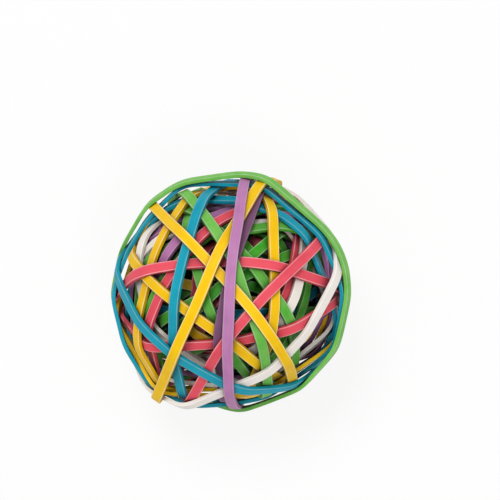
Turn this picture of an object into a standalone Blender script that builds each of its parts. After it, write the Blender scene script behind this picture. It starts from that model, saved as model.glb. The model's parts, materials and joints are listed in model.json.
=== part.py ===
"""Rubber band ball: coloured rubber bands stretched one over another round a tightly wound core.

Every band is one closed loop. A band is wound in its own place on the ball, and it lies on whatever
is already under it: the core and the bands wound before it. Between two high spots it spans straight,
as stretched rubber does. Units are metres, +Z is up, and the ball stands on z = 0.
"""
import math

import bmesh
import bpy
import numpy as np
from mathutils import Euler, Vector
from mathutils.geometry import convex_hull_2d
from mathutils.kdtree import KDTree

# Driving sizes.
BALL_DIAMETER = 0.063
BAND_WIDTH = 0.0028
BAND_THICKNESS = 0.0008
LAYER_GAP = 0.0003
# The core fills the ball up to this far under its outside.
CORE_DEPTH = 0.0045

# A neighbour that comes this close beside a band still lifts it.
SIDE_CLEARANCE = 0.0002
# A bend of a band is rounded off into fewer, longer facets while it rises by no more than this.
BEND_RISE = 0.00013
# The wad that the bands are wound on starts this far under the ball's outside. It is filled out
# where the ball comes out thin and taken in where it comes out thick, by a share of the error each
# time, and it is never smaller than a set diameter.
WAD_DEPTH = 0.009
WAD_PASSES = 8
WAD_GAIN = 0.8
SMALLEST_WAD = 0.026
WAD_SUBDIVISIONS = 4
CORE_SUBDIVISIONS = 5
# How closely the bands' inner faces are sampled where the core has to stay under them.
SAMPLE_STEP = 0.0005

COLOURS = {
    "yellow": (0.93, 0.62, 0.0),
    "teal": (0.0, 0.34, 0.48),
    "purple": (0.44, 0.17, 0.47),
    "red": (0.78, 0.07, 0.11),
    "green": (0.05, 0.42, 0.04),
    "white": (0.80, 0.75, 0.69),
    "core": (0.03, 0.06, 0.05),
}
RUBBER_ROUGHNESS = 0.55

# Bands deep in the ball, which show only in the gaps, spread evenly all round.
FILLER_COLOURS = ("teal", "green")
GOLDEN_ANGLE = math.radians(137.5)

# The winding plan, from the first band wound to the last. Each row is one band: its colour, the
# heading of its plane round the ball, how far the plane leans towards lying flat, how far the band
# sits off the ball's middle, and how far it snakes to either side and where. All are in degrees.
WINDING_PLAN = (
    ("green", -153, 5, 0, 0, 0),
    ("green", 112, 23, 0, 0, 0),
    ("green", -136, 6, 0, 0, 0),
    ("white", -175, 46, 0, 0, 0),
    ("red", -78, 75, -13, 0, 0),
    ("purple", 135, 75, -10, 0, 0),
    ("yellow", 95, 75, -12, 0, 0),
    ("red", 57, 31, 2, 0, 0),
    ("white", 58, 36, 2, 0, 0),
    ("green", 50, 50, -1, 0, 0),
    ("green", -170, 39, 0, 0, 0),
    ("purple", 171, 65, 2, 6, 5),
    ("purple", -122, 46, 2, 0, 0),
    ("purple", 58, 66, -5, 0, 0),
    ("white", -66, 49, -5, 0, 0),
    ("green", -131, 35, 0, 0, 0),
    ("white", 44, 78, -2, 0, 0),
    ("green", -70, 13, 0, 0, 0),
    ("green", 127, 19, 0, 0, 0),
    ("red", -126, 29, -2, 0, 0),
    ("teal", 152, 61, 4, 6, 50),
    ("red", 12, 24, -4, 0, 0),
    ("yellow", -103, 52, -4, 7, 85),
    ("yellow", 86, 22, -4, 3, -85),
    ("yellow", -43, 14, -10, 5, -70),
    ("yellow", 21, 74, -4, 1, -15),
    ("red", 178, 18, 3, 1, -10),
    ("purple", -100, 4, 5, 3, 10),
    ("green", 113, 11, 4, 1, 15),
    ("teal", -97, 23, -6, 4, 70),
    ("red", 52, 5, -13, 5, 80),
    ("teal", 143, 76, 10, 7, 55),
    ("white", 52, 48, 0, 1, 80),
    ("yellow", 128, 5, 3, 2, -25),
    ("teal", -29, 44, -5, 5, 65),
    ("yellow", -118, 7, -6, 2, -60),
    ("purple", -93, 4, 5, 1, 25),
    ("green", 130, 66, 4, 4, 20),
)


def remove_all_objects():
    for thing in list(bpy.data.objects):
        bpy.data.objects.remove(thing, do_unlink=True)


def make_material(name, colour):
    material = bpy.data.materials.new(name)
    material.use_nodes = True
    shader = material.node_tree.nodes["Principled BSDF"]
    shader.inputs["Base Color"].default_value = (*colour, 1.0)
    shader.inputs["Roughness"].default_value = RUBBER_ROUGHNESS
    shader.inputs["Metallic"].default_value = 0.0
    return material


def filler_rows():
    """Rows like those of the winding plan, with the planes' normals spread evenly over the ball."""
    count = len(FILLER_COLOURS)
    rows = []
    for index, colour in enumerate(FILLER_COLOURS):
        lean = math.degrees(math.asin((index + 0.5) / count))
        heading = math.degrees(index * GOLDEN_ANGLE)
        rows.append((colour, heading, lean, 0, 0, 0))
    return rows


def round_mesh(subdivisions):
    """A round mesh of radius 1, as a new bmesh."""
    shell = bmesh.new()
    bmesh.ops.create_icosphere(shell, subdivisions=subdivisions, radius=1)
    return shell


class Heap:
    """The surface of all that is wound so far, as points and edges about the ball's middle."""

    def __init__(self, points, edges):
        self.points = points
        self.edges = edges

    def add(self, points, edges):
        self.edges = np.vstack((self.edges, edges + len(self.points)))
        self.points = np.vstack((self.points, points))


class Course:
    """Where one band runs: its plane, as a turn of the ball's axes, and its offset and bow."""

    def __init__(self, heading, lean, offset, bow, bow_at):
        radius = BALL_DIAMETER / 2
        self.turn = Euler((math.radians(lean - 90), 0, math.radians(heading)))
        self.matrix = np.array(self.turn.to_matrix())
        self.shift = radius * math.sin(math.radians(offset))
        self.bow = radius * math.radians(bow)
        self.bow_at = math.radians(bow_at)
        reach = radius * math.cos(math.radians(offset))
        # How fast the surface that the band lies on narrows across the band.
        self.taper = self.shift / (reach * reach)

    def side(self, x, y):
        """How far along the plane's normal the middle of the band lies, where it passes x and y."""
        return self.shift + self.bow * np.cos(2 * (np.arctan2(y, x) - self.bow_at))

    def shadows(self, heap):
        """All that lies under the band's track, seen along its tapered surface, as flat points."""
        local = heap.points @ self.matrix
        across = local[:, 2] - self.side(local[:, 0], local[:, 1])
        limit = BAND_WIDTH / 2 + SIDE_CLEARANCE
        inside = np.abs(across) <= limit
        flat = [local[inside, :2] / (1 - self.taper * across[inside, None])]
        start = heap.edges[:, 0]
        end = heap.edges[:, 1]
        for edge_of_track in (-limit, limit):
            before = across[start] - edge_of_track
            after = across[end] - edge_of_track
            crosses = before * after < 0
            share = (before[crosses] / (before[crosses] - after[crosses]))[:, None]
            meets = local[start[crosses]] * (1 - share) + local[end[crosses]] * share
            flat.append(meets[:, :2] / (1 - self.taper * edge_of_track))
        return np.vstack(flat)

    def place(self, loop, across):
        """The points of a flat loop, moved across the band by this much, in the band's own axes."""
        flat = np.array([point[:] for point in loop]) * (1 - self.taper * across)
        height = self.side(flat[:, 0], flat[:, 1]) + across
        return np.column_stack((flat, height))


def line_meeting(a, b, c, d):
    """Where the line through a and b meets the line through c and d."""
    ab = b - a
    cd = d - c
    cross = ab.x * cd.y - ab.y * cd.x
    if abs(cross) < 1e-12:
        return None
    along = ((c.x - a.x) * cd.y - (c.y - a.y) * cd.x) / cross
    return a + ab * along


def ease(loop):
    """Round off the loop's bends from outside: short facets go, and their neighbours meet."""
    loop = list(loop)
    while len(loop) > 8:
        best = None
        for index in range(len(loop)):
            a, b, c, d = (loop[(index + step) % len(loop)] for step in range(4))
            corner = line_meeting(a, b, c, d)
            if corner is None or (corner - b).dot(b - a) < 0 or (corner - c).dot(c - d) < 0:
                continue
            facet = (c - b).normalized()
            rise = abs((corner - b).x * facet.y - (corner - b).y * facet.x)
            if rise <= BEND_RISE and (best is None or rise < best[0]):
                best = (rise, index, corner)
        if best is None:
            break
        _, index, corner = best
        second = (index + 1) % len(loop)
        third = (index + 2) % len(loop)
        loop[second] = corner
        del loop[third]
    return loop


def grow(loop, distance):
    """The convex loop moved outwards, each facet by the same distance."""
    count = len(loop)
    grown = []
    for index in range(count):
        before = (loop[index] - loop[index - 1]).normalized()
        after = (loop[(index + 1) % count] - loop[index]).normalized()
        outward = Vector((before.y + after.y, -before.x - after.x))
        grown.append(loop[index] + outward * (distance / (1 + before.dot(after))))
    return grown


def taut_loop(course, heap):
    """The tightest loop round all that lies under the band, counterclockwise, with its gap."""
    flat = [Vector(point) for point in course.shadows(heap)]
    hull = [flat[index] for index in convex_hull_2d(flat)]
    area = sum(a.x * b.y - b.x * a.y for a, b in zip(hull, hull[1:] + hull[:1]))
    if area < 0:
        hull.reverse()
    return grow(ease(hull), LAYER_GAP)


def wound_band(course, loop):
    """The four edges of a band that lies on this loop, as points and edges about the middle."""
    outer = grow(loop, BAND_THICKNESS)
    half = BAND_WIDTH / 2
    rings = [course.place(ring, across) for ring in (loop, outer) for across in (-half, half)]
    points = np.vstack(rings) @ course.matrix.T
    count = len(loop)
    here = np.arange(count)
    ahead = np.roll(here, -1)
    along = [np.column_stack((here, ahead)) + ring * count for ring in range(4)]
    between = [np.column_stack((here + one * count, here + other * count))
               for one, other in ((0, 1), (2, 3), (0, 2), (1, 3))]
    return points, np.vstack(along + between)


def wind(courses, wad_points, wad_edges):
    """Wind every band in turn on the wad: the loop of each band, and the whole heap."""
    heap = Heap(wad_points, wad_edges)
    loops = []
    for course in courses:
        loop = taut_loop(course, heap)
        heap.add(*wound_band(course, loop))
        loops.append(loop)
    return loops, heap


def wind_round_ball(courses):
    """Wind the bands on a wad whose bumps and hollows make the finished ball round."""
    shell = round_mesh(WAD_SUBDIVISIONS)
    directions = np.array([vert.co[:] for vert in shell.verts])
    edges = np.array([[vert.index for vert in edge.verts] for edge in shell.edges])
    shell.free()
    radius = BALL_DIAMETER / 2
    wad = np.full(len(directions), radius - WAD_DEPTH)
    for _ in range(WAD_PASSES):
        loops, heap = wind(courses, directions * wad[:, None], edges)
        reach = (directions @ heap.points.T).max(axis=1)
        wad = np.clip(wad + WAD_GAIN * (radius - reach), SMALLEST_WAD / 2, radius - CORE_DEPTH)
    return loops, heap


def band_mesh(name, course, loop):
    """The band's inner face: a ring strip as wide as the band, open at both edges."""
    mesh = bpy.data.meshes.new(name)
    shell = bmesh.new()
    half = BAND_WIDTH / 2
    rim = [shell.verts.new(point) for point in course.place(loop, -half)]
    edges = [shell.edges.new((rim[index - 1], rim[index])) for index in range(len(rim))]
    bmesh.ops.extrude_edge_only(shell, edges=edges)
    for low, point in zip(rim, course.place(loop, half)):
        ends = (edge.other_vert(low) for edge in low.link_edges)
        high = next(end for end in ends if end not in rim)
        high.co = point
    bmesh.ops.recalc_face_normals(shell, faces=shell.faces)
    face = next(iter(shell.faces))
    middle = face.calc_center_median()
    if face.normal.dot(Vector((middle.x, middle.y, 0))) < 0:
        bmesh.ops.reverse_faces(shell, faces=shell.faces)
    shell.to_mesh(mesh)
    shell.free()
    return mesh


def make_band(number, colour, course, loop, ball, collection):
    """One band as an object of its own."""
    name = f"band_{number:02d}_{colour}"
    band = bpy.data.objects.new(name, band_mesh(name, course, loop))
    band.rotation_euler = course.turn
    band.parent = ball
    band.data.materials.append(make_material(f"{name}_rubber", COLOURS[colour]))
    collection.objects.link(band)
    thickness = band.modifiers.new("thickness", "SOLIDIFY")
    thickness.thickness = BAND_THICKNESS
    thickness.offset = 1
    thickness.use_even_offset = True
    return band


def inner_face_samples(band):
    """Points closely spread over the inner face of a band, about the ball's middle."""
    turn = np.array(band.rotation_euler.to_matrix())
    samples = []
    for face in band.data.polygons:
        corners = np.array([band.data.vertices[index].co[:] for index in face.vertices])
        sides = [np.linalg.norm(corners[index] - corners[index - 1]) for index in range(4)]
        rows = math.ceil(max(sides[0], sides[2]) / SAMPLE_STEP) + 1
        columns = math.ceil(max(sides[1], sides[3]) / SAMPLE_STEP) + 1
        down, along = np.meshgrid(np.linspace(0, 1, rows), np.linspace(0, 1, columns))
        down = down.reshape(-1, 1)
        along = along.reshape(-1, 1)
        near = corners[0] * (1 - down) + corners[3] * down
        far = corners[1] * (1 - down) + corners[2] * down
        samples.append(near * (1 - along) + far * along)
    return np.vstack(samples) @ turn.T


def make_core(bands, ball, collection):
    """The tightly wound inside of the ball as one solid, which reaches up under the bands."""
    samples = np.vstack([inner_face_samples(band) for band in bands])
    heights = np.linalg.norm(samples, axis=1)
    tree = KDTree(len(samples))
    for index, direction in enumerate(samples / heights[:, None]):
        tree.insert(direction, index)
    tree.balance()
    shell = round_mesh(CORE_SUBDIVISIONS)
    reach = max(edge.calc_length() for edge in shell.edges) * 1.05
    for vert in shell.verts:
        above = [heights[index] - LAYER_GAP for _, index, _ in tree.find_range(vert.co, reach)]
        vert.co *= min((BALL_DIAMETER / 2 - CORE_DEPTH, *above))
    mesh = bpy.data.meshes.new("core")
    shell.to_mesh(mesh)
    shell.free()
    mesh.materials.append(make_material("core_rubber", COLOURS["core"]))
    core = bpy.data.objects.new("core", mesh)
    core.parent = ball
    collection.objects.link(core)


def stand_on_floor(ball, heap):
    """Put the ball's lowest point on z = 0, and its box centred over the origin."""
    low = heap.points.min(axis=0)
    high = heap.points.max(axis=0)
    ball.location = (-(low[0] + high[0]) / 2, -(low[1] + high[1]) / 2, -low[2])


def main():
    remove_all_objects()
    collection = bpy.data.collections.new("rubber_band_ball")
    bpy.context.scene.collection.children.link(collection)
    ball = bpy.data.objects.new("ball_middle", None)
    collection.objects.link(ball)
    plan = (*filler_rows(), *WINDING_PLAN)
    courses = [Course(*row[1:]) for row in plan]
    loops, heap = wind_round_ball(courses)
    bands = []
    for number, (row, course, loop) in enumerate(zip(plan, courses, loops), start=1):
        bands.append(make_band(number, row[0], course, loop, ball, collection))
    make_core(bands, ball, collection)
    stand_on_floor(ball, heap)


main()
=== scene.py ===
"""Looks for the rubber band ball: soft-edged stretched bands over a ball of many older windings.

Each band of the frame is rebuilt along its own course, with rounded bends, a slightly rolled section
and its own shade of rubber. The core becomes a ball of further bands that fill the gaps between them.
Lengths are in metres unless a name says otherwise, +Z is up.
"""
import json
import math

import bmesh
import bpy
import numpy as np
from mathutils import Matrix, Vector
from mathutils.geometry import convex_hull_2d

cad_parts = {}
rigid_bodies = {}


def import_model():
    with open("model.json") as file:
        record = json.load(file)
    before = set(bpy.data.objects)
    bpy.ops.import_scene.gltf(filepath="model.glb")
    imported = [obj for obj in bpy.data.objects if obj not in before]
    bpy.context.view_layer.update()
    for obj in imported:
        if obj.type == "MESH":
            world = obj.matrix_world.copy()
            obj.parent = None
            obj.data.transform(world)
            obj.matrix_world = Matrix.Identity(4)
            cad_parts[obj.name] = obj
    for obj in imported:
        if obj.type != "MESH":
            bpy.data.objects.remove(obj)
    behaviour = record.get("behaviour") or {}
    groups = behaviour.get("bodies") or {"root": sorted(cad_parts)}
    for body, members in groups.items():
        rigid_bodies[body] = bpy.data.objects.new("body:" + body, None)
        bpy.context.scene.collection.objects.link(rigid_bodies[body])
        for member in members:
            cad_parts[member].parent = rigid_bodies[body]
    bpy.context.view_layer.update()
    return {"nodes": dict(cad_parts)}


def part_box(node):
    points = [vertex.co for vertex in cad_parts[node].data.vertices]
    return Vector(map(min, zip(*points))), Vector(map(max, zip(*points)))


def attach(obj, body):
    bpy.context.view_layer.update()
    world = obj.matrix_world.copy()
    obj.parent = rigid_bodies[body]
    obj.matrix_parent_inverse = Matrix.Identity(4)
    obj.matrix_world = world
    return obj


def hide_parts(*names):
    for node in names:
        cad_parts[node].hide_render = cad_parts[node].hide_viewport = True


MM = 0.001
SEED = 7

# The frame's bands keep 0.3 mm clear of each other. The visible ones fill that gap from both sides.
BAND_WIDTH = 2.8 * MM
BAND_THICKNESS = 1.08 * MM
CORNER_RADIUS = 0.16 * MM
CORNER_STEPS = 2
# How close the stations along a band lie, how far its bends are smoothed, and how far the band is
# lifted to make up for that.
STATION_SPACING = 0.55 * MM
BEND_BLUR = 2.0 * MM
BEND_LIFT = 0.06 * MM

# What tells a long edge of a band in the frame: points this close are one point, its two faces meet
# at more than this angle, and it doesn't run this much along the band's axis.
SAME_POINT = 0.001 * MM
EDGE_ANGLE = math.radians(50)
EDGE_ASIDE = 0.7

# Hand-wound unevenness: how far a band rolls about its own length, drifts and changes width.
ROLL = math.radians(3.5)
DRIFT = 0.12 * MM
WIDTH_CHANGE = 0.04
WAVE_LENGTH = 26 * MM

# The windings that make up the core. They fill the gaps between the frame's bands, and they are
# pressed down wherever one of those crosses them.
CORE_BANDS = 54
CORE_STATIONS = 240
CORE_THICKNESS = 0.85 * MM
CORE_START = 20.5 * MM
CORE_MAX_OFFSET = math.radians(14)
CORE_BLUR = 1.3 * MM
# How many of every sixteen have each colour, how far on in that list the next one's colour is, and
# how far their tones spread.
CORE_SHARES = {"green": 5, "teal": 3, "red": 3, "purple": 2, "yellow": 3}
CORE_COLOUR_STEP = 7
CORE_TONE_SPREAD = 0.2
# How a winding is pressed down: how much the dip is smoothed, how far it stays flat in terms of that,
# how steeply and how far off the winding comes up again, how clear it stays of the band over it, and
# how far beyond that band's sides it does so.
PRESS_BLUR = 0.8 * MM
PRESS_FLAT = 1.5
PRESS_SLOPE = 0.55
PRESS_REACH = 12 * MM
PRESS_GAP = 0.03 * MM
PRESS_MARGIN = 0.25 * MM
# The last windings of the core lie where they close most of what is still open this far out. Each is
# the best of several tries, and keeps this far below the level of the bands round it.
FILL_BANDS = 30
FILL_TRIES = 80
FILL_LEAST = 29.2 * MM
FILL_SINK = 0.15 * MM
FILL_MAX_OFFSET = math.radians(24)

# The maps of the sphere have this many cells a side. A winding is pulled tight at this many angles
# over what lies under it at this radius. What it takes up is marked at more stations than it has. Few
# points across its width find what is under it, more find its room, and most mark what it takes up.
GRID = 480
WIND_ANGLES = 1440
WIND_RADIUS = CORE_START * 1.1
MARK_STATIONS = 5 * CORE_STATIONS
POINTS_UNDER = 7
POINTS_ROOM = 15
POINTS_COVER = 25
# Points over a band's inner face: how many across it, and how many steps from station to station.
FACE_POINTS = 18
FACE_STEPS = 3
# How wide a neighbourhood counts for the lowest band over a place, for the smooth mean of that, for
# the level of the bands round a gap, for the windings' own tops and for the depth of the heart.
LOWEST_ANGLE = math.radians(4.5)
ROOM_ANGLE = math.radians(3.5)
LEVEL_ANGLE = math.radians(3)
TOPS_ANGLE = math.radians(9)
HEART_ANGLE = math.radians(4)
# Directions that one step of a smooth mean takes on, to keep its tables small.
MEAN_BLOCK = 2000

# Each rubber's colour where it is deepest and where it is palest.
COLOURS = {
    "yellow": ((0.79, 0.43, 0.0), (0.93, 0.585, 0.001)),
    "teal": ((0.0, 0.235, 0.35), (0.006, 0.37, 0.49)),
    "purple": ((0.37, 0.135, 0.335), (0.50, 0.21, 0.43)),
    "red": ((0.66, 0.045, 0.08), (0.84, 0.105, 0.14)),
    "green": ((0.025, 0.33, 0.008), (0.22, 0.56, 0.11)),
    "white": ((0.76, 0.70, 0.63), (0.93, 0.88, 0.83)),
}
# How pale a band is, from the first one wound to the last, and by how much single ones stand out.
# The first, lying under the later ones, are darker: partly painted shade, partly the rubber's own
# tone.
FIRST_TONE = -0.25
LAST_TONE = 0.25
TONE_SPREAD = 0.08
OWN_TONES = {"band_31_green": 0.1, "band_40_green": 0.15}
# Bands given the darker copy of their rubber, a painted shadow of the one wound over them.
PAINTED_SHADOW_BANDS = ("band_30_purple",)
# Painted shade: the darker copies of the rubber, used deep in the ball and for bands in another's
# shadow, keep only this much of its colour.
DEEP_PAINTED_SHADE = 0.45
# Painted shade: the colour is darkened by ambient occlusion where bands lie close and shade each
# other:
# how far apart they still do so, how open a place is where the shade is fullest and where it ends,
# and how much of the colour is left in the fullest.
SHADE_REACH = 3.5 * MM
SHADE_FULLEST = 0.15
SHADE_END = 0.85
SHADE_LEFT = 0.12
SHADE_SAMPLES = 6

# The rubber's sheen, and its markings by their scale in a millimetre: lines drawn out along the band,
# broad clouds a few millimetres wide, and the fine grain of the matte skin.
ROUGHNESS = 0.55
SPECULAR = 0.2
LINES_SCALE = (0.10, 4.5, 1.0)
LINES_DETAIL = 3.0
LINES_CONTRAST = 0.22
CLOUD_SCALE = 0.22
CLOUD_CONTRAST = 0.9
GRAIN_SCALE = 9.0
SKIN_DETAIL = 2.0
# How much of the unevenness to the touch is grain, and how strong and deep all of it is.
GRAIN_SHARE = 0.3
BUMP_STRENGTH = 0.35
BUMP_DEPTH = 0.06 * MM
# Bands take their markings from places this many millimetres apart, the frame's from one of so many.
MARKING_STEP = 37.0
MARKING_PLACES = 60
# The pale line along each outer edge, partly a painted highlight of the rounded edge and partly
# chalky wear: how far it lies from the edge, half its width, and how softly it ends.
PALE_LINE_INSET = 0.12 * MM
PALE_LINE_HALF = 0.15 * MM
PALE_LINE_FADE = 0.05 * MM
# How much of that line shows where there is no cloud, and how much more a cloud brings out.
WEAR_HIGHLIGHT_LEAST = 0.1
WEAR_HIGHLIGHT_MORE = 1.4
# Its colour, chalky and a painted highlight: so much of the rubber's own, so much grey of its palest
# channel, and nowhere paler than this.
CHALK_HIGHLIGHT_OWN = 0.64
CHALK_HIGHLIGHT_GREY = 0.35
CHALK_HIGHLIGHT_PALEST = 0.95
# Painted shade: the patchy near-black round at the bottom of the gaps, which stands for the shade
# deep in them.
HEART_SHADE_COLOUR = (0.012, 0.03, 0.022)
HEART_ROUGHNESS = 0.7
HEART_PATCHES = 300.0
HEART_ROUNDS = 5

# The floor, how much of it the camera sees as plain white, and the light from all round.
WHITE = (1.0, 1.0, 1.0, 1.0)
FLOOR_SIZE = 6.0
FLOOR_COLOUR = (0.86, 0.86, 0.86, 1.0)
FLOOR_ROUGHNESS = 0.9
FLOOR_WHITE = 0.85
WORLD_LIGHT = 0.56
# The round lights: name, place, width and power.
LIGHTS = (
    ("key", (-0.14, 0.36, 0.92), 0.30, 4.4),
    ("fill", (0.16, -0.34, 0.95), 0.30, 1.7),
)

# The camera looks straight down. The picture's size, and in it the place of the ball's middle and the
# ball's radius, are in pixels.
PICTURE = 500
BALL_AT = (229.0, 292.8)
BALL_PIXELS = 121.5
BALL_RADIUS = 33.0 * MM
CAMERA_DISTANCE = 0.70
SENSOR = 36.0


def clear_scene():
    for thing in list(bpy.data.objects):
        bpy.data.objects.remove(thing, do_unlink=True)


# Materials

def new_material(name, roughness):
    """A material, its nodes and links, and its shader."""
    material = bpy.data.materials.new(name)
    material.use_nodes = True
    nodes = material.node_tree.nodes
    shader = nodes["Principled BSDF"]
    shader.inputs["Roughness"].default_value = roughness
    return material, nodes, material.node_tree.links, shader


def feed(links, socket, given):
    """Set a socket to a value, or link another socket to it."""
    if isinstance(given, bpy.types.NodeSocket):
        links.new(given, socket)
    else:
        socket.default_value = given


def add_noise(nodes, links, vector, scale, detail):
    """The value of a noise texture that follows this vector."""
    noise = nodes.new("ShaderNodeTexNoise")
    noise.inputs["Scale"].default_value = scale
    noise.inputs["Detail"].default_value = detail
    links.new(vector, noise.inputs["Vector"])
    return noise.outputs["Fac"]


def add_mix(nodes, links, share, first, second, blend="MIX"):
    """Two colours mixed. The share and the colours are values or sockets."""
    mix = nodes.new("ShaderNodeMix")
    mix.data_type = "RGBA"
    mix.blend_type = blend
    feed(links, mix.inputs[0], share)
    feed(links, mix.inputs[6], first)
    feed(links, mix.inputs[7], second)
    return mix.outputs[2]


def add_math(nodes, links, operation, *terms, clamp=False):
    """What a calculation gives. Its terms are values or sockets."""
    step = nodes.new("ShaderNodeMath")
    step.operation = operation
    step.use_clamp = clamp
    for place, term in enumerate(terms):
        feed(links, step.inputs[place], term)
    return step.outputs["Value"]


def rubber(name, deepest, palest):
    """Stretched rubber: fine lines along the band, paler at its cut edges by a painted highlight and
    chalky wear, uneven in tone, and darkened by painted shade where bands lie close.
    """
    material, nodes, links, shader = new_material(name, ROUGHNESS)
    shader.inputs["Specular IOR Level"].default_value = SPECULAR
    shader.inputs["Metallic"].default_value = 0.0

    strip = nodes.new("ShaderNodeUVMap")
    strip.uv_map = "strip"
    flat = strip.outputs["UV"]
    drawn_out = nodes.new("ShaderNodeMapping")
    drawn_out.inputs["Scale"].default_value = LINES_SCALE
    links.new(flat, drawn_out.inputs["Vector"])
    lines = add_noise(nodes, links, drawn_out.outputs["Vector"], 1.0, LINES_DETAIL)
    cloud = add_noise(nodes, links, flat, CLOUD_SCALE, SKIN_DETAIL)
    grain = add_noise(nodes, links, flat, GRAIN_SCALE, SKIN_DETAIL)

    tone = nodes.new("ShaderNodeAttribute")
    tone.attribute_name = "tone"
    paleness = add_math(nodes, links, "MULTIPLY_ADD", cloud, CLOUD_CONTRAST, tone.outputs["Fac"])
    plain = add_mix(nodes, links, paleness, (*deepest, 1.0), (*palest, 1.0))
    lined = add_mix(nodes, links, LINES_CONTRAST, plain, lines, blend="OVERLAY")
    # Painted highlight, partly chalky wear: a pale line along each cut edge.
    grey = CHALK_HIGHLIGHT_GREY * max(palest)
    chalk_and_highlight = tuple(min(CHALK_HIGHLIGHT_PALEST, channel * CHALK_HIGHLIGHT_OWN + grey) for channel in palest)
    wear_and_highlight = add_mix(nodes, links, pale_line(nodes, links, cloud), lined, (*chalk_and_highlight, 1.0))
    # Painted shade: the colour darkened where bands lie close.
    shaded = add_mix(nodes, links, 1.0, wear_and_highlight, shade(nodes, links), blend="MULTIPLY")
    links.new(shaded, shader.inputs["Base Color"])

    height = nodes.new("ShaderNodeMix")
    height.inputs[0].default_value = GRAIN_SHARE
    links.new(lines, height.inputs[2])
    links.new(grain, height.inputs[3])
    bump = nodes.new("ShaderNodeBump")
    bump.inputs["Strength"].default_value = BUMP_STRENGTH
    bump.inputs["Distance"].default_value = BUMP_DEPTH
    links.new(height.outputs[0], bump.inputs["Height"])
    links.new(bump.outputs["Normal"], shader.inputs["Normal"])
    return material


def pale_line(nodes, links, cloud):
    """How much of the pale edge line shows, a painted highlight and partly chalky wear, from the
    distance round the section.
    """
    girth = nodes.new("ShaderNodeAttribute")
    girth.attribute_name = "girth"
    line_at = (BAND_WIDTH / 2 - PALE_LINE_INSET) / MM
    from_middle = add_math(nodes, links, "ABSOLUTE", girth.outputs["Fac"])
    beyond_line = add_math(nodes, links, "SUBTRACT", from_middle, line_at)
    from_line = add_math(nodes, links, "ABSOLUTE", beyond_line)
    near = nodes.new("ShaderNodeMapRange")
    near.interpolation_type = "SMOOTHSTEP"
    near.inputs["From Min"].default_value = (PALE_LINE_HALF + PALE_LINE_FADE) / MM
    near.inputs["From Max"].default_value = (PALE_LINE_HALF - PALE_LINE_FADE) / MM
    links.new(from_line, near.inputs["Value"])
    wear_and_highlight = add_math(nodes, links, "MULTIPLY_ADD", cloud, WEAR_HIGHLIGHT_MORE, WEAR_HIGHLIGHT_LEAST, clamp=True)
    return add_math(nodes, links, "MULTIPLY", near.outputs["Result"], wear_and_highlight)


def shade(nodes, links):
    """How much of the colour is left under the painted shade of the bands close by, from ambient
    occlusion.
    """
    hidden = nodes.new("ShaderNodeAmbientOcclusion")
    hidden.samples = SHADE_SAMPLES
    hidden.inputs["Distance"].default_value = SHADE_REACH
    left = nodes.new("ShaderNodeMapRange")
    left.inputs["From Min"].default_value = SHADE_FULLEST
    left.inputs["From Max"].default_value = SHADE_END
    left.inputs["To Min"].default_value = SHADE_LEFT
    left.inputs["To Max"].default_value = 1.0
    links.new(hidden.outputs["AO"], left.inputs["Value"])
    return left.outputs["Result"]


def heart_painted_shade():
    """Painted shade: a near-black in two depths of one colour, for the dark deep in the gaps."""
    material, nodes, links, shader = new_material("heart_painted_shade", HEART_ROUGHNESS)
    patches = nodes.new("ShaderNodeTexNoise")
    patches.inputs["Scale"].default_value = HEART_PATCHES
    paler = tuple(channel * 2 for channel in HEART_SHADE_COLOUR)
    patchy = add_mix(nodes, links, patches.outputs["Fac"], (*HEART_SHADE_COLOUR, 1.0), (*paler, 1.0))
    links.new(patchy, shader.inputs["Base Color"])
    return material


# Courses of the frame's bands

def long_edges(node):
    """The four long edges of a band in the frame, each as a closed run of points in one order."""
    shell = bmesh.new()
    shell.from_mesh(node.data)
    bmesh.ops.remove_doubles(shell, verts=shell.verts, dist=SAME_POINT)
    shell.verts.index_update()
    points = np.array([vert.co[:] for vert in shell.verts])
    middle = points.mean(axis=0)
    axis = np.linalg.svd(points - middle)[2][2]
    ahead = {}
    for edge in shell.edges:
        if len(edge.link_faces) != 2 or edge.calc_face_angle() < EDGE_ANGLE:
            continue
        run = np.array((edge.verts[1].co - edge.verts[0].co).normalized()[:])
        if abs(run @ axis) > EDGE_ASIDE:
            continue
        first, second = (vert.index for vert in edge.verts)
        ahead.setdefault(first, []).append(second)
        ahead.setdefault(second, []).append(first)
    shell.free()
    loops = []
    left = set(ahead)
    while left:
        start = min(left)
        loop = [start]
        left.remove(start)
        while True:
            following = [index for index in ahead[loop[-1]] if index in left]
            if not following:
                break
            loop.append(following[0])
            left.remove(following[0])
        loops.append(points[loop])
    if len(loops) != 4 or len({len(loop) for loop in loops}) != 1:
        raise ValueError(f"{node.name}: the long edges don't make four like loops")
    return in_step(loops, middle, axis)


def in_step(loops, middle, axis):
    """The loops in the order inner low, inner high, outer high, outer low, all starting abreast."""
    for index, loop in enumerate(loops):
        arms = loop - middle
        turning = np.cross(arms, np.roll(arms, -1, axis=0)).sum(axis=0) @ axis
        if turning < 0:
            loops[index] = loop[::-1]
    reach = [np.linalg.norm(loop - middle, axis=1).mean() for loop in loops]
    by_reach = np.argsort(reach)
    inner = sorted(by_reach[:2], key=lambda index: (loops[index] @ axis).mean())
    outer = sorted(by_reach[2:], key=lambda index: (loops[index] @ axis).mean())
    ordered = [loops[inner[0]], loops[inner[1]], loops[outer[1]], loops[outer[0]]]
    first = ordered[0][0]
    abreast = [np.roll(loop, -np.argmin(np.linalg.norm(loop - first, axis=1)), axis=0)
               for loop in ordered]
    return np.array(abreast)


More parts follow.
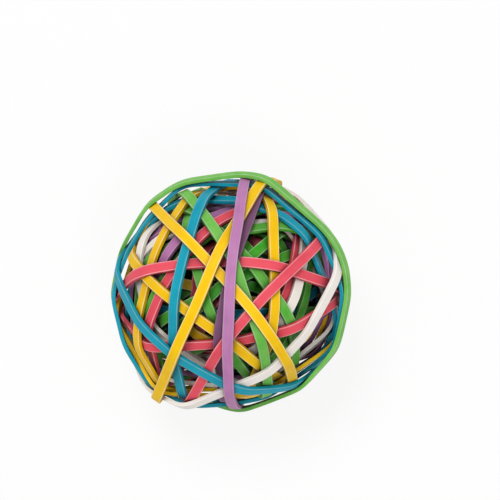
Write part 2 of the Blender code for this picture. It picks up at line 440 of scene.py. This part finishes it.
def even_stations(rings):
    """The four rings at evenly spaced stations along the band, and the spacing."""
    middle = rings.mean(axis=0)
    steps = np.linalg.norm(np.roll(middle, -1, axis=0) - middle, axis=1)
    distance = np.concatenate(([0], np.cumsum(steps)))
    count = int(round(distance[-1] / STATION_SPACING))
    wanted = np.arange(count) * distance[-1] / count
    closed = np.concatenate((rings, rings[:, :1]), axis=1)
    even = [[np.interp(wanted, distance, ring[:, axis]) for axis in range(3)] for ring in closed]
    return np.array(even).transpose(0, 2, 1), distance[-1] / count


def blur(values, spacing, width):
    """Values along a closed band, smoothed by a bell curve of this width."""
    waves = np.fft.rfft(values, axis=0)
    frequency = np.fft.rfftfreq(len(values), spacing)
    keep = np.exp(-2 * (math.pi * frequency * width) ** 2)
    keep = keep.reshape((-1,) + (1,) * (values.ndim - 1))
    return np.fft.irfft(waves * keep, n=len(values), axis=0)


def wander(rng, count, spacing, size):
    """A smooth closed random curve of about this size."""
    noise = blur(rng.normal(size=count), spacing, WAVE_LENGTH / 4)
    return size * noise / max(1e-9, noise.std())


def unit(vectors):
    """The vectors at a length of one."""
    return vectors / np.linalg.norm(vectors, axis=-1, keepdims=True)


# Bands as meshes

def section(width, thickness):
    """A rounded rectangle as rows of across, out, normal across, normal out and girth.

    The rows start and end on the inner face, and the girth is counted from the outer face's middle.
    """
    rows = []
    girth = 0.0
    quarter = math.pi / 2
    for corner, (side, face) in enumerate(((1, -1), (1, 1), (-1, 1), (-1, -1))):
        for step in range(CORNER_STEPS + 1):
            angle = quarter * (corner - 1 + step / CORNER_STEPS)
            turn = np.array((math.cos(angle), math.sin(angle)))
            centre = np.array((side * (width / 2 - CORNER_RADIUS),
                               face * (thickness / 2 - CORNER_RADIUS)))
            point = centre + turn * CORNER_RADIUS
            if rows:
                girth += math.dist(point, rows[-1][:2])
            rows.append((*point, *turn, girth))
    rows = np.array(rows)
    rows[:, 4] -= girth / 2
    return rows


class Strip:
    """Bands gathered as one mesh: points, faces and what the material reads."""

    def __init__(self):
        self.points = []
        self.normals = []
        self.faces = []
        self.strip = []
        self.girth = []
        self.tone = []
        self.count = 0

    def add(self, centre, across, out, thickness, tone, width=BAND_WIDTH):
        """A band along this closed centre line, with its across and outward directions."""
        rows = section(BAND_WIDTH, thickness)
        stations = len(centre)
        ring = len(rows)
        wide = np.broadcast_to(np.asarray(width) / BAND_WIDTH, (stations,))
        points = (centre[:, None] + across[:, None] * rows[None, :, 0:1] * wide[:, None, None]
                  + out[:, None] * rows[None, :, 1:2])
        normals = across[:, None] * rows[None, :, 2:3] + out[:, None] * rows[None, :, 3:4]
        station, place = np.meshgrid(np.arange(stations), np.arange(ring), indexing="ij")
        next_station = (station + 1) % stations
        next_place = (place + 1) % ring
        corners = np.stack((station * ring + place, station * ring + next_place,
                            next_station * ring + next_place, next_station * ring + place), axis=-1)
        steps = np.linalg.norm(np.roll(centre, -1, axis=0) - centre, axis=1)
        distance = np.concatenate(([0], np.cumsum(steps))) / MM
        girth = np.append(rows[:, 4], rows[-1, 4] + math.dist(rows[-1, :2], rows[0, :2])) / MM
        near, far = distance[station], distance[station + 1]
        low, high = girth[place], girth[place + 1]
        start = MARKING_STEP * self.count
        strip = np.stack((near, low + start, near, high + start,
                          far, high + start, far, low + start), axis=-1)
        before = sum(len(block) for block in self.points)
        self.points.append(points.reshape(-1, 3))
        self.normals.append(normals.reshape(-1, 3))
        self.faces.append(corners.reshape(-1, 4) + before)
        self.strip.append(strip.reshape(-1, 2))
        self.girth.append(np.tile(rows[:, 4] / MM, stations))
        self.tone.append(np.full(stations * ring, tone))
        self.count += 1

    def make(self, name, material):
        """The bands as one object in the scene."""
        points = np.vstack(self.points)
        faces = np.vstack(self.faces)
        mesh = bpy.data.meshes.new(name)
        mesh.from_pydata(points.tolist(), [], faces.tolist())
        uv = mesh.uv_layers.new(name="strip")
        uv.data.foreach_set("uv", np.vstack(self.strip).ravel())
        for label, values in (("girth", self.girth), ("tone", self.tone)):
            attribute = mesh.attributes.new(label, "FLOAT", "POINT")
            attribute.data.foreach_set("value", np.concatenate(values))
        mesh.materials.append(material)
        mesh.polygons.foreach_set("use_smooth", np.ones(len(faces), bool))
        mesh.normals_split_custom_set_from_vertices(np.vstack(self.normals).tolist())
        mesh.update()
        piece = bpy.data.objects.new(name, mesh)
        bpy.context.scene.collection.objects.link(piece)
        return piece


def turn_about(vectors, axes, angles):
    """Vectors turned about unit axes at right angles to them."""
    return vectors * np.cos(angles)[:, None] + np.cross(axes, vectors) * np.sin(angles)[:, None]


def dress_band(node, material, age, rng):
    """Show a band of the frame, and give the points of its underside.

    The age runs from 0 for the first band wound to 1 for the last.
    """
    rings, spacing = even_stations(long_edges(node))
    rings = np.array([blur(ring, spacing, BEND_BLUR) for ring in rings])
    centre = rings.mean(axis=0)
    ahead = unit(np.roll(centre, -1, axis=0) - np.roll(centre, 1, axis=0))
    across = rings[1] + rings[2] - rings[0] - rings[3]
    across = unit(across - (across * ahead).sum(axis=1)[:, None] * ahead)
    out = np.cross(ahead, across)
    if (out * (centre - centre.mean(axis=0))).sum() < 0:
        across = -across
        out = -out
    count = len(centre)
    angles = wander(rng, count, spacing, ROLL)
    across = turn_about(across, ahead, angles)
    out = turn_about(out, ahead, angles)
    centre = centre + across * wander(rng, count, spacing, DRIFT)[:, None] + out * BEND_LIFT
    width = BAND_WIDTH * (1 + wander(rng, count, spacing, WIDTH_CHANGE / 2))
    # Start and end where the band is lowest, out of sight.
    lowest = int(np.argmin(centre[:, 2]))
    centre, across, out, width = (np.roll(values, -lowest, axis=0)
                                  for values in (centre, across, out, width))
    strip = Strip()
    strip.count = int(rng.integers(1, MARKING_PLACES))
    # Bands wound first are darker, partly painted shade and partly their own tone.
    tone = FIRST_TONE + (LAST_TONE - FIRST_TONE) * age + rng.uniform(-TONE_SPREAD, TONE_SPREAD)
    tone += OWN_TONES.get(node.name, 0.0)
    strip.add(centre, across, out, BAND_THICKNESS, tone, width=width)
    piece = strip.make(node.name + "_look", material)
    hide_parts(node.name)
    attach(piece, "root")
    return underside(centre, across, out)


def underside(centre, across, out):
    """Points closely spread over a band's inner face and a little to either side of it."""
    reach = BAND_WIDTH / 2 + PRESS_MARGIN
    spread = np.linspace(-reach, reach, FACE_POINTS)
    steps = np.linspace(0, 1, FACE_STEPS, endpoint=False)
    inner = centre - out * BAND_THICKNESS / 2
    points = []
    for step in steps:
        here = inner * (1 - step) + np.roll(inner, -1, axis=0) * step
        points.append(here[:, None] + across[:, None] * spread[None, :, None])
    return np.concatenate(points).reshape(-1, 3)


# The core

def cells(directions):
    """Each direction's cell in a square map of the sphere, folded from an octahedron."""
    flat = directions / np.abs(directions).sum(axis=-1, keepdims=True)
    x, y, z = flat[..., 0], flat[..., 1], flat[..., 2]
    folded_x = np.where(z < 0, (1 - np.abs(y)) * np.where(x < 0, -1, 1), x)
    folded_y = np.where(z < 0, (1 - np.abs(x)) * np.where(y < 0, -1, 1), y)
    column = np.clip(((folded_x + 1) / 2 * GRID).astype(int), 0, GRID - 1)
    row = np.clip(((folded_y + 1) / 2 * GRID).astype(int), 0, GRID - 1)
    return row, column


def taut(radii, angles):
    """The radius at each angle of the tightest closed line round a wavy one."""
    flat = np.column_stack((radii * np.cos(angles), radii * np.sin(angles)))
    hull = convex_hull_2d([Vector(point) for point in flat])
    hull = np.array(sorted(hull, key=lambda index: angles[index]))
    corners = flat[hull]
    following = np.roll(corners, -1, axis=0)
    which = np.searchsorted(angles[hull], angles, side="right") - 1
    a, b = corners[which], following[which]
    heading = np.column_stack((np.cos(angles), np.sin(angles)))
    run = b - a
    cross = run[:, 0] * heading[:, 1] - run[:, 1] * heading[:, 0]
    start = run[:, 0] * a[:, 1] - run[:, 1] * a[:, 0]
    return np.abs(start / np.where(np.abs(cross) < 1e-12, 1e-12, cross))


def bell_mean(places, values, directions, width):
    """Values given at some directions, as a smooth mean about other directions."""
    sharpness = 1 / width ** 2
    result = []
    for block in np.array_split(directions, max(1, len(directions) // MEAN_BLOCK)):
        weight = np.exp(sharpness * (block @ places.T - 1))
        result.append(weight @ values / weight.sum(axis=1))
    return np.concatenate(result)


class CoreBand:
    """One winding of the core, about the ball's middle: its plane and its radius all round."""

    def __init__(self, normal, offset, colour):
        self.normal = unit(np.array(normal))
        helper = np.array((1.0, 0, 0)) if abs(self.normal[0]) < 0.8 else np.array((0, 1.0, 0))
        self.right = unit(np.cross(self.normal, helper))
        self.ahead = np.cross(self.normal, self.right)
        self.offset = offset
        self.colour = colour

    def directions(self, angles):
        """Where the band's middle line lies at these angles, seen from the ball's middle."""
        flat = self.right * np.cos(angles)[:, None] + self.ahead * np.sin(angles)[:, None]
        return flat * math.cos(self.offset) + self.normal * math.sin(self.offset)

    def footprint(self, radii, angles, columns):
        """Directions all over what the band covers, by station and across."""
        spread = np.linspace(-0.5, 0.5, columns) * BAND_WIDTH
        points = self.directions(angles) * radii[:, None]
        return unit(points[:, None] + self.normal * spread[None, :, None])

    def wind(self, relief):
        """Pull the band tight over the relief so far, and add it to the relief."""
        angles = np.linspace(-math.pi, math.pi, WIND_ANGLES, endpoint=False)
        guess = np.full(len(angles), WIND_RADIUS)
        under = relief[cells(self.footprint(guess, angles, POINTS_UNDER))].max(axis=1)
        radii = taut(under, angles)
        spacing = 2 * math.pi * radii.mean() / len(angles)
        radii = blur(radii, spacing, CORE_BLUR)
        top = radii + CORE_THICKNESS
        covered = cells(self.footprint(top, angles, POINTS_COVER))
        np.maximum.at(relief, covered, np.repeat(top[:, None], POINTS_COVER, axis=1))
        self.angles = angles
        self.radii = radii + CORE_THICKNESS / 2


def random_course(index, max_offset, rng):
    """A winding in any direction, with a colour that follows from its number."""
    names = [name for name, share in CORE_SHARES.items() for _ in range(share)]
    normal = rng.normal(size=3)
    offset = rng.uniform(-max_offset, max_offset)
    return CoreBand(normal, offset, names[index * CORE_COLOUR_STEP % len(names)])


def faces_over(undersides, middle):
    """How far from the ball's middle the bands' inner faces lie, for each cell of the sphere.

    The first map holds the lowest face in each cell, the second the highest.
    """
    lowest = np.full((GRID, GRID), np.inf)
    highest = np.zeros((GRID, GRID))
    for points in undersides:
        arms = points - middle
        radii = np.linalg.norm(arms, axis=1)
        where = cells(arms / radii[:, None])
        np.minimum.at(lowest, where, radii)
        np.maximum.at(highest, where, radii)
    return lowest, highest


def press(radii, room, spacing):
    """A winding's radius all round, smoothly pressed down under what crosses it."""
    low = np.minimum(radii, room)
    steps = math.ceil(PRESS_REACH / spacing)
    flat = math.ceil(PRESS_FLAT * PRESS_BLUR / spacing)
    ramps = [np.roll(low, step) + PRESS_SLOPE * max(0, abs(step) - flat) * spacing
             for step in range(-steps, steps + 1)]
    return blur(np.min(ramps, axis=0), spacing, PRESS_BLUR)


def gap_fillers(ceiling, places, faces, rng):
    """The last windings, each with its radii all round. Each lowers the ceiling for the next."""
    stations = np.linspace(-math.pi, math.pi, CORE_STATIONS, endpoint=False)
    close_stations = np.linspace(-math.pi, math.pi, MARK_STATIONS, endpoint=False)
    outside = np.full(CORE_STATIONS, faces.max())
    spacing = 2 * math.pi * faces.max() / CORE_STATIONS
    bare = np.isinf(ceiling)
    fillers = []
    for index in range(FILL_BANDS):
        most = -1
        for _ in range(FILL_TRIES):
            course = random_course(index, FILL_MAX_OFFSET, rng)
            where = cells(course.footprint(outside, stations, POINTS_ROOM))
            room = np.minimum(ceiling[where].min(axis=1), outside)
            closed = bare[where].sum(axis=1) * (press(room, room, spacing) > FILL_LEAST)
            if closed.sum() > most:
                most, best, best_room = closed.sum(), course, room
        level = bell_mean(places, faces, best.directions(stations), LEVEL_ANGLE) - FILL_SINK
        room = np.minimum(best_room, level) - CORE_THICKNESS / 2 - PRESS_GAP
        radii = press(room, room, spacing)
        fillers.append((best, radii))
        close_radii = np.interp(close_stations, stations, radii, period=2 * math.pi)
        where = cells(best.footprint(close_radii, close_stations, POINTS_COVER))
        under = np.repeat(close_radii[:, None] - CORE_THICKNESS / 2, POINTS_COVER, axis=1)
        np.minimum.at(ceiling, where, under)
        bare[where] &= under < FILL_LEAST
    return fillers


def dress_core(node, materials, undersides, rng):
    """The windings under the frame's bands, which fill the gaps between them, in rubber darkened by
    painted shade, and the heart, a dark round of painted shade.
    """
    points = np.array([vert.co[:] for vert in node.data.vertices])
    low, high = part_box(node.name)
    middle = np.array(((low + high) / 2)[:])
    ceiling, highest = faces_over(undersides, middle)
    places = np.unique(np.round(unit(points - middle), 4), axis=0)
    close = places @ places.T > math.cos(LOWEST_ANGLE)
    faces = highest[cells(places)]
    faced = faces > 0
    lowest = np.where(close, ceiling[cells(places)][None], faces.max()).min(axis=1)

    windings = gap_fillers(ceiling, places[faced], faces[faced], rng)
    relief = np.full((GRID, GRID), CORE_START)
    courses = [random_course(index, CORE_MAX_OFFSET, rng) for index in range(CORE_BANDS)]
    for course in courses:
        course.wind(relief)
    tops = relief[cells(places)]

    stations = np.linspace(-math.pi, math.pi, CORE_STATIONS, endpoint=False)
    for course in courses:
        radii = np.interp(stations, course.angles, course.radii)
        directions = course.directions(stations)
        allowed = bell_mean(places, lowest, directions, ROOM_ANGLE)
        reached = bell_mean(places, tops, directions, TOPS_ANGLE)
        radii = radii * allowed / reached
        room = ceiling[cells(course.footprint(radii, stations, POINTS_ROOM))].min(axis=1)
        room = room - CORE_THICKNESS / 2 - PRESS_GAP
        windings.append((course, press(radii, room, 2 * math.pi * radii.mean() / CORE_STATIONS)))

    show_windings(node, windings, stations, middle, materials, rng)
    show_heart(node, middle, places, lowest, tops.mean())


def show_windings(node, windings, stations, middle, materials, rng):
    """The core's windings, those of each colour as one piece."""
    strips = {name: Strip() for name in CORE_SHARES}
    for course, radii in windings:
        directions = course.directions(stations)
        centre = directions * radii[:, None]
        ahead = unit(np.roll(centre, -1, axis=0) - np.roll(centre, 1, axis=0))
        out = unit(directions - (directions * ahead).sum(axis=1)[:, None] * ahead)
        across = np.cross(out, ahead)
        tone = rng.uniform(-CORE_TONE_SPREAD, CORE_TONE_SPREAD)
        strips[course.colour].add(centre + middle, across, out, CORE_THICKNESS, tone)
    for name, strip in strips.items():
        piece = strip.make(f"core_windings_{name}", materials[name])
        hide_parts(node.name)
        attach(piece, "root")


def show_heart(node, middle, places, lowest, top):
    """Painted shade: a dark round that shows between the deepest windings and follows the frame's
    bands far below.
    """
    shell = bmesh.new()
    bmesh.ops.create_icosphere(shell, subdivisions=HEART_ROUNDS, radius=1)
    directions = np.array([vert.co[:] for vert in shell.verts])
    depth = bell_mean(places, lowest, directions, HEART_ANGLE) * CORE_START / top
    for vert, radius in zip(shell.verts, depth):
        vert.co = Vector(middle) + vert.co * radius
    mesh = bpy.data.meshes.new("core_heart")
    shell.to_mesh(mesh)
    shell.free()
    mesh.polygons.foreach_set("use_smooth", np.ones(len(mesh.polygons), bool))
    mesh.materials.append(heart_painted_shade())
    heart = bpy.data.objects.new("core_heart", mesh)
    bpy.context.scene.collection.objects.link(heart)
    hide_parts(node.name)
    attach(heart, "root")


# Surroundings

def make_floor():
    """A plain floor that the camera sees nearly white, with the ball's soft shadow."""
    bpy.ops.mesh.primitive_plane_add(size=FLOOR_SIZE, location=(0, 0, 0))
    floor = bpy.context.object
    floor.name = "floor"
    material, nodes, links, shader = new_material("floor", FLOOR_ROUGHNESS)
    shader.inputs["Base Color"].default_value = FLOOR_COLOUR
    white = nodes.new("ShaderNodeEmission")
    white.inputs["Color"].default_value = WHITE
    path = nodes.new("ShaderNodeLightPath")
    share = add_math(nodes, links, "MULTIPLY", path.outputs["Is Camera Ray"], FLOOR_WHITE)
    mix = nodes.new("ShaderNodeMixShader")
    links.new(share, mix.inputs[0])
    links.new(shader.outputs["BSDF"], mix.inputs[1])
    links.new(white.outputs["Emission"], mix.inputs[2])
    links.new(mix.outputs["Shader"], nodes["Material Output"].inputs["Surface"])
    floor.data.materials.append(material)


def make_world():
    """Light from all round, which the camera sees as white."""
    world = bpy.data.worlds.new("studio")
    bpy.context.scene.world = world
    world.use_nodes = True
    nodes = world.node_tree.nodes
    links = world.node_tree.links
    background = nodes["Background"]
    background.inputs["Color"].default_value = WHITE
    path = nodes.new("ShaderNodeLightPath")
    strength = nodes.new("ShaderNodeMix")
    strength.inputs[2].default_value = WORLD_LIGHT
    strength.inputs[3].default_value = 1.0
    links.new(path.outputs["Is Camera Ray"], strength.inputs[0])
    links.new(strength.outputs[0], background.inputs["Strength"])


def make_light(name, place, size, power):
    """A round light that faces the ball's middle."""
    data = bpy.data.lights.new(name, "AREA")
    data.shape = "DISK"
    data.size = size
    data.energy = power
    light = bpy.data.objects.new(name, data)
    light.location = place
    back = Vector(place) - Vector((0, 0, BALL_RADIUS))
    light.rotation_euler = back.to_track_quat("Z", "Y").to_euler()
    bpy.context.scene.collection.objects.link(light)


def make_camera():
    """A camera high above the ball."""
    size = BALL_RADIUS / BALL_PIXELS
    data = bpy.data.cameras.new("camera")
    data.sensor_width = SENSOR
    data.lens = SENSOR * CAMERA_DISTANCE / (size * PICTURE)
    camera = bpy.data.objects.new("camera", data)
    across = (PICTURE / 2 - BALL_AT[0]) * size
    up = (BALL_AT[1] - PICTURE / 2) * size
    camera.location = (across, up, BALL_RADIUS + CAMERA_DISTANCE)
    camera.rotation_euler = (0, 0, 0)
    bpy.context.scene.collection.objects.link(camera)
    bpy.context.scene.camera = camera


def main():
    clear_scene()
    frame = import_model()
    make_camera()
    materials = {}
    painted_shade_materials = {}
    for name, shades in COLOURS.items():
        materials[name] = rubber(f"rubber_{name}", *shades)
        # Painted shade: a darker copy of each rubber, for the windings deep in the ball and for bands
        # in another's shadow.
        deep = [[channel * DEEP_PAINTED_SHADE for channel in shade] for shade in shades]
        painted_shade_materials[name] = rubber(f"rubber_deep_{name}", *deep)
    rng = np.random.default_rng(SEED)
    names = sorted(name for name in frame["nodes"] if name != "core")
    undersides = []
    for index, name in enumerate(names):
        # Bands in another's shadow take the darker copy of their rubber: a painted shadow.
        shades = painted_shade_materials if name in PAINTED_SHADOW_BANDS else materials
        material = shades[name.split("_")[-1]]
        age = index / (len(names) - 1)
        undersides.append(dress_band(frame["nodes"][name], material, age, rng))
    # The core's windings all take the darker copies, their shade painted in.
    dress_core(frame["nodes"]["core"], painted_shade_materials, undersides, rng)
    make_floor()
    make_world()
    for name, place, size, power in LIGHTS:
        make_light(name, place, size, power)
    bpy.context.scene.view_settings.view_transform = "Standard"


main()
